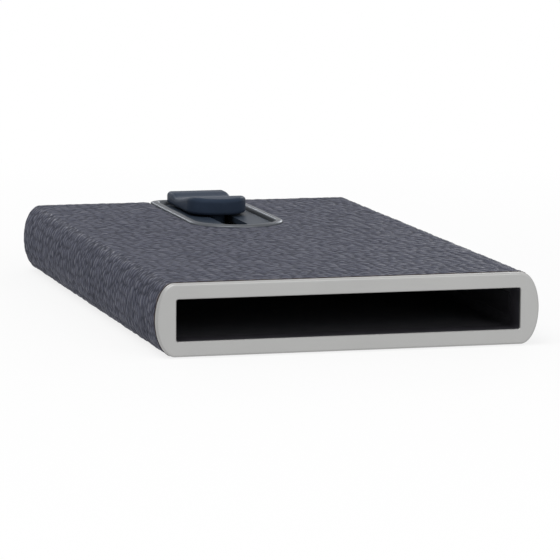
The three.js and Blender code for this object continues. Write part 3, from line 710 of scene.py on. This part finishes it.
def rear_panel():
    """The end panel, inlaid in the leather's rear edge. Its rows run from side to side."""
    inset = CASE_HALF_WIDTH - PANEL_HIGH[0]
    rx, rz = SIDE_BULGE - inset, MID_HEIGHT - inset
    t = np.linspace(-math.pi / 2, math.pi / 2, PANEL_ROWS)
    height = MID_HEIGHT + rz * np.sin(t)
    half = FLAT_HALF_WIDTH + rx * np.cos(t)
    share = np.linspace(-1, 1, PANEL_COLUMNS)
    x = (half[:, None] * share).ravel()
    z = np.repeat(height, PANEL_COLUMNS)
    side = (half[:, None] * (1 - np.abs(share))).ravel()
    edge = np.minimum(side, np.repeat(rz - np.abs(height - MID_HEIGHT), PANEL_COLUMNS))
    grained = grain(x, z + PANEL_GRAIN_SHIFT)
    round_off = WRAP_END_RADIUS * (1 - np.clip(edge / WRAP_END_RADIUS, 0, 1)) ** 2
    face_y = PANEL_HIGH[1] - GRAIN_DEPTH * (1 - grained) - round_off
    place = np.stack([x, face_y, z], 1)
    flesh = np.stack([x, np.full(len(x), PANEL_LOW[1]), z], 1)
    kept = np.ones((PANEL_ROWS - 1, PANEL_COLUMNS - 1), bool)
    # Partly burnish, partly painted shade of the gap between the panel and the wrap: darker round the
    # panel's edge
    burnish_and_gap_shade = np.exp(-(edge / BURNISH_AND_GAP_SHADE_REACH) ** 2)
    leather_sheet("rear_leather_skin", "rear_leather", place, flesh, kept, grained, burnish_and_gap_shade)


# Metal rim, window ring and button

def mouth_rim(count=900):
    """The light metal frame round the mouth, with a rebate behind its lip for the collar."""
    front, rear = FRAME_LOW[1], FRAME_HIGH[1]
    lip = front + FRAME_LIP
    rebate = aperture_loop(REBATE, count)
    loops = [at_depth(aperture_loop(0, count), lip),
             at_depth(aperture_loop(0, count), front + APERTURE_CHAMFER),
             at_depth(aperture_loop(APERTURE_CHAMFER, count), front),
             at_depth(aperture_loop(APERTURE_CHAMFER + SUPPORT, count), front),
             at_depth(case_loop(RIM_SETBACK + FRAME_EDGE_RADIUS + SUPPORT, count), front)]
    for inset, rise in reversed(quarter_round(FRAME_EDGE_RADIUS, steps=8)):
        loops.append(at_depth(case_loop(RIM_SETBACK + inset, count), front + FRAME_EDGE_RADIUS - rise))
    loops += [at_depth(case_loop(RIM_SETBACK, count), rear), at_depth(rebate, rear), at_depth(rebate, lip)]
    points, faces = loft(loops, cyclic=True)
    make_piece("mouth_rim", points, faces, "case", "rim_metal", "mouth_frame", sharp=40)


def window_ring(flank_steps=10, slope_steps=12):
    """The ring round the window: a rounded outer flank, a crest and a slope down to the floor."""
    bottom, top = BEZEL_LOW[2], BEZEL_HIGH[2]
    foot = TRACK_TOP - BEZEL_SINK
    slope_width = BEZEL_WIDTH + BEZEL_OVERHANG - BEZEL_CREST

    def loop(inset, z):
        plan = nose_loop(BEZEL_HALF_WIDTH - inset, BEZEL_LOW[1] + inset, BEZEL_HIGH[1] - inset,
                         BEZEL_CORNER_RADIUS, arc=72)
        return at_height(plan + (WINDOW_X, 0), z)

    loops = [loop(0, bottom)]
    for inset, rise in quarter_round(1, flank_steps):
        loops.append(loop(BEZEL_CREST * inset, top - BEZEL_SHOULDER * (1 - rise)))
    for share in np.linspace(0, 1, slope_steps + 1)[1:]:
        fall = (top - foot) * (1 - math.cos(share * math.pi / 2))
        loops.append(loop(BEZEL_CREST + slope_width * share, top - fall))
    loops += [loop(BEZEL_WIDTH, foot - BEZEL_OVERHANG), loop(BEZEL_WIDTH, bottom)]
    points, faces = loft(loops, cyclic=True)
    make_piece("window_ring", points, faces, "case", "bezel_metal", "window_bezel")


def dish_height(y):
    """Height of the button's top at a place along it."""
    place = np.clip((y - BUTTON_FRONT) / (BUTTON_REAR - BUTTON_FRONT), 0, 1)
    places, heights = np.array(DISH_PLACE_SHARES), np.array(DISH_HEIGHT_SHARES)
    i = np.clip(np.searchsorted(places, place, side="right") - 1, 0, len(places) - 2)
    ease = eased((place - places[i]) / (places[i + 1] - places[i]))
    return BUTTON_BOTTOM + BUTTON_HEIGHT * (heights[i] + (heights[i + 1] - heights[i]) * ease)


def thumb_button():
    """The button with its dished top and fluted nose, and the stem that goes down into the slot."""
    counts = {"arc": 40, "side": 90, "turn": 6}

    def plan(inset):
        corner = max(BUTTON_CORNER_RADIUS - inset, BUTTON_CORNER_LEAST)
        loop = nose_loop(BUTTON_HALF_WIDTH - inset, BUTTON_FRONT + inset, BUTTON_REAR - inset,
                         corner, **counts)
        on_nose = np.clip(1 - (loop[:, 1] - BUTTON_FRONT) / BUTTON_HALF_WIDTH, 0, 1)
        loop[:, 1] += FLUTE_DEPTH * on_nose * (1 + np.cos(loop[:, 0] / FLUTE_PITCH * math.tau)) / 2
        return loop

    stem = nose_loop(STEM_WIDTH / 2, BUTTON_FRONT + STEM_SETBACK, BUTTON_REAR - STEM_TAIL,
                     STEM_WIDTH / 2 - STEM_CORNER_MARGIN, **counts)
    loops = [at_height(stem, BUTTON_LOW[2]), at_height(stem, BUTTON_BOTTOM)]
    for inset, rise in reversed(quarter_round(BUTTON_FOOT_RADIUS, steps=8)):
        loops.append(at_height(plan(inset), BUTTON_BOTTOM + BUTTON_FOOT_RADIUS - rise))
    for inset, rise in quarter_round(BUTTON_EDGE_RADIUS, steps=12):
        loop = plan(inset)
        loops.append(at_height(loop, dish_height(loop[:, 1]) - BUTTON_EDGE_RADIUS + rise))
    loop = plan(BUTTON_EDGE_RADIUS + SUPPORT)
    loops.append(at_height(loop, dish_height(loop[:, 1])))
    points, faces = loft(loops)
    # Faces from side to side close the top, and one face closes the stem's foot
    count = len(loop)
    first = len(points) - count
    faces.append((first, first + 1, first + count - 1))
    for i in range(1, (count - 1) // 2):
        faces.append((first + i, first + i + 1, first + count - i - 1, first + count - i))
    faces.append(tuple(range(count - 1, -1, -1)))
    make_piece("thumb_button_shell", points + (BUTTON_X, 0, 0), faces, "slider", "button_plastic",
               "thumb_button", sharp=50)


leather_wrap()
rear_panel()
mouth_rim()
window_ring()
thumb_button()


# Fine edges on a solid that stays

def soften(node, width, segments=3, sharp=40):
    """A small bevel on the edges of a solid of the frame that are over the sharp angle."""
    bevel = frame["nodes"][node].modifiers.new("edge", "BEVEL")
    bevel.width = width * MM
    bevel.segments = segments
    bevel.limit_method = "ANGLE"
    bevel.angle_limit = math.radians(sharp)


soften("track_plate", TRACK_EDGE_BEVEL)


# Floor, world, lights and camera

def combined(tree, operation, first, second):
    """A node that does a sum on two sockets."""
    made = tree.nodes.new("ShaderNodeMath")
    made.operation = operation
    tree.links.new(first, made.inputs[0])
    tree.links.new(second, made.inputs[1])
    return made.outputs[0]


def mixed(tree, share, first, second, target):
    """Mixes two shaders by a socket's share, into a target socket."""
    mix = tree.nodes.new("ShaderNodeMixShader")
    for source, socket in zip((share, first, second), mix.inputs):
        tree.links.new(source, socket)
    tree.links.new(mix.outputs[0], target)


def background_share(tree):
    """1 for rays that see the background straight, in a reflection or through glass."""
    path = tree.nodes.new("ShaderNodeLightPath")
    total = path.outputs["Is Camera Ray"]
    for kind in ("Is Glossy Ray", "Is Transmission Ray"):
        total = combined(tree, "MAXIMUM", total, path.outputs[kind])
    return total


def pale_floor():
    """A floor that keeps the case's shadow near the case, and is white further out."""
    half = FLOOR_SIZE / 2
    mesh = bpy.data.meshes.new("floor")
    corners = [(-half, -half), (half, -half), (half, half), (-half, half)]
    mesh.from_pydata([(x, y, -FLOOR_GAP) for x, y in corners], [], [(0, 1, 2, 3)])
    floor = bpy.data.objects.new("floor", mesh)
    bpy.context.scene.collection.objects.link(floor)
    material = bpy.data.materials.new("pale_floor")
    material.use_nodes = True
    mesh.materials.append(material)
    tree = material.node_tree
    shader = tree.nodes["Principled BSDF"]
    shader.inputs["Base Color"].default_value = (FLOOR_GREY, FLOOR_GREY, FLOOR_GREY, 1)
    shader.inputs["Roughness"].default_value = 1
    shader.inputs["Specular IOR Level"].default_value = 0
    glow = tree.nodes.new("ShaderNodeEmission")
    place = tree.nodes.new("ShaderNodeTexCoord")
    reach = tree.nodes.new("ShaderNodeVectorMath")
    reach.operation = "LENGTH"
    tree.links.new(place.outputs["Object"], reach.inputs[0])
    fade = tree.nodes.new("ShaderNodeMapRange")
    for key, value in zip(("From Min", "From Max", "To Min"), (*SHADOW_REACH, FLOOR_WHITE_SHARE)):
        fade.inputs[key].default_value = value
    tree.links.new(reach.outputs["Value"], fade.inputs["Value"])
    share = combined(tree, "MULTIPLY", background_share(tree), fade.outputs["Result"])
    surface = tree.nodes["Material Output"].inputs["Surface"]
    mixed(tree, share, shader.outputs[0], glow.outputs[0], surface)


def studio_world():
    """Even ambient light, with a white background for the camera and for reflections."""
    world = bpy.data.worlds.new("studio")
    world.use_nodes = True
    bpy.context.scene.world = world
    tree = world.node_tree
    ambient = tree.nodes["Background"]
    ambient.inputs["Color"].default_value = (1, 1, 1, 1)
    ambient.inputs["Strength"].default_value = AMBIENT
    white = tree.nodes.new("ShaderNodeBackground")
    white.inputs["Color"].default_value = (1, 1, 1, 1)
    surface = tree.nodes["World Output"].inputs["Surface"]
    mixed(tree, background_share(tree), ambient.outputs[0], white.outputs[0], surface)


def softbox(name, place, size, level):
    """A square area light that faces the case. Its level is what it adds to a white surface
    that faces it."""
    light = bpy.data.lights.new(name, "AREA")
    light.shape = "SQUARE"
    light.size = size
    light.energy = level * (math.pi * Vector(place).length) ** 2
    lamp = bpy.data.objects.new(name, light)
    lamp.location = place
    lamp.rotation_euler = (-Vector(place)).to_track_quat("-Z", "Y").to_euler()
    bpy.context.scene.collection.objects.link(lamp)


def photo_camera():
    """The camera of the photograph, fitted to the case's outline."""
    flat = math.cos(CAMERA_PITCH)
    ahead = Vector((math.sin(CAMERA_YAW) * flat, math.cos(CAMERA_YAW) * flat, -math.sin(CAMERA_PITCH)))
    right = Vector((math.cos(CAMERA_YAW), -math.sin(CAMERA_YAW), 0))
    up = right.cross(ahead)
    rolled_right = math.cos(CAMERA_ROLL) * right + math.sin(CAMERA_ROLL) * up
    rolled_up = -math.sin(CAMERA_ROLL) * right + math.cos(CAMERA_ROLL) * up
    view = Matrix((rolled_right, rolled_up, -ahead)).transposed().to_4x4()
    view.translation = Vector(CAMERA_PLACE)
    lens = bpy.data.cameras.new("photo_camera")
    lens.sensor_fit = "HORIZONTAL"
    lens.sensor_width = SENSOR_WIDTH_MM
    lens.lens = CAMERA_FOCAL_PIXELS / PICTURE_WIDTH_PIXELS * SENSOR_WIDTH_MM
    lens.clip_start = CAMERA_CLIP_START
    camera = bpy.data.objects.new("photo_camera", lens)
    camera.matrix_world = view
    bpy.context.scene.collection.objects.link(camera)
    bpy.context.scene.camera = camera


pale_floor()
studio_world()
softbox("key", place=(-0.35, -0.25, 0.9), size=0.7, level=0.5)
softbox("rear_right", place=(0.48, 0.82, 0.29), size=0.2, level=0.1)
softbox("rear", place=(-0.1, 0.9, 0.32), size=0.12, level=0.06)
softbox("front_fill", place=(0.3, -0.9, 0.35), size=0.5, level=0.2)
photo_camera()
bpy.context.scene.view_settings.view_transform = "Standard"
